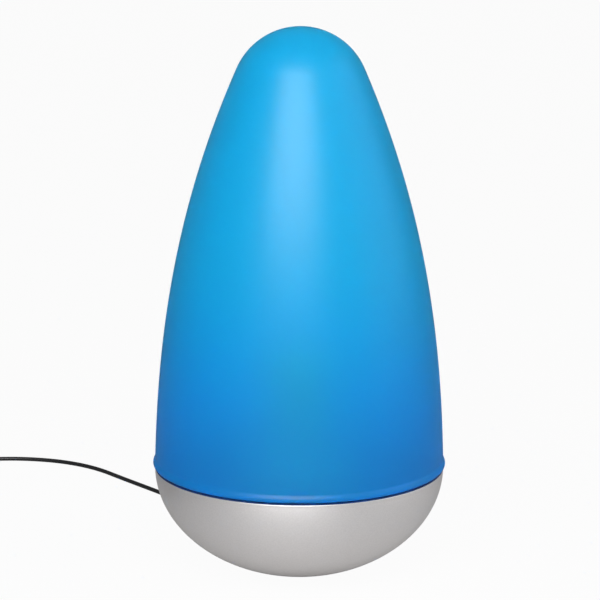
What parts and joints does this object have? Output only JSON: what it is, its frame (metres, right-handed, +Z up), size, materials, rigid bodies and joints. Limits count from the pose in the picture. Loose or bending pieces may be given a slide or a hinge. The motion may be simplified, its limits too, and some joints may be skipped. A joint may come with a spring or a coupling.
{
  "type": "cool mist humidifier",
  "caption": "Cool mist humidifier: a tall closed frosted dome standing on a satin metal bowl that holds the water basin, ultrasonic transducer and fan, with a corded wall adapter.",
  "frame": {"origin": "on the table under the middle of the bowl", "axes": "+Z up along the dome's axis, the front faces -Y, the power lead leaves at the back towards -X"},
  "size_m": [0.4087, 0.349, 0.357],
  "materials": {
    "frosted_blue": "frosted translucent moulding",
    "satin_aluminium": "spun and bead blasted",
    "cream_plastic": "satin moulding",
    "grey_plastic": "satin moulding",
    "white_plastic": "satin moulding",
    "black_plastic": "fine spark texture",
    "black_rubber": "moulded",
    "cord_black": "smooth round cord sheath",
    "grey_silicone": "moulded",
    "red_wire": "smooth wire sheath",
    "steel": "bright zinc",
    "nickel": "nickel plate",
    "iron": "as cast",
    "ferrite": "sintered",
    "fin_aluminium": "as extruded",
    "green_board": "solder mask",
    "silvered_ceramic": "fired silver",
    "capacitor_sleeve": "shrunk sleeve",
    "clear_glass": "drawn tube",
    "tie_fabric": "woven hook and loop band"
  },
  "bodies": {
    "base": {"adapter_base": "black_plastic", "adapter_board": "green_board", "adapter_cover": "black_plastic", "adapter_pins": "nickel", "adapter_sleeve": "black_rubber", "adapter_transformer": "ferrite", "air_hood": "grey_plastic", "ballast_ring": "iron", "base_bowl": "satin_aluminium", "base_plate": "black_plastic", "base_screws": "steel", "board_screws": "steel", "capacitors": "capacitor_sleeve", "choke_coil": "ferrite", "cord_coil": "cord_black", "cord_tie": "tie_fabric", "driver_board": "green_board", "electronics_tray": "black_plastic", "fan_duct": "black_plastic", "fan_frame": "black_plastic", "fan_screws": "steel", "float_clip": "grey_plastic", "foot_ring": "black_rubber", "heat_sink": "fin_aluminium", "inner_lead": "cord_black", "lead_connector": "white_plastic", "piezo_disc": "silvered_ceramic", "power_cord": "cord_black", "reed_switch": "clear_glass", "retainer_screws": "steel", "strain_relief": "black_rubber", "switch_base": "black_plastic", "switch_cover": "black_plastic", "switch_screws": "steel", "transducer_gasket": "grey_silicone", "transducer_lead": "red_wire", "transducer_retainer": "steel", "tray_screws": "steel", "water_basin": "grey_plastic"},
    "dome": {"mist_dome": "frosted_blue"},
    "chimney": {"mist_chimney": "cream_plastic", "splash_cap": "cream_plastic"},
    "float": {"level_float": "white_plastic", "float_magnet": "ferrite"},
    "rotor": {"fan_rotor": "black_plastic"},
    "rocker": {"switch_rocker": "black_plastic"}
  },
  "joints": [
    {"name": "dome_lift", "type": "slide", "parent": "base", "child": "dome", "axis": [0, 0, 1], "range_m": [0, 0.12]},
    {"name": "chimney_lift", "type": "slide", "parent": "base", "child": "chimney", "axis": [0, 0, 1], "range_m": [0, 0.06]},
    {"name": "float_rise", "type": "slide", "parent": "base", "child": "float", "axis": [0, 0, 1], "range_m": [0, 0.0115]},
    {"name": "fan_spin", "type": "hinge", "parent": "base", "child": "rotor", "pos_m": [0, 0.022, 0.022], "axis": [0, 0, 1], "continuous": true},
    {"name": "rocker_press", "type": "hinge", "parent": "base", "child": "rocker", "pos_m": [-0.258, 0.183, 0.0092], "axis": [-1, 0, 0], "range_deg": [0, 16]}
  ]
}
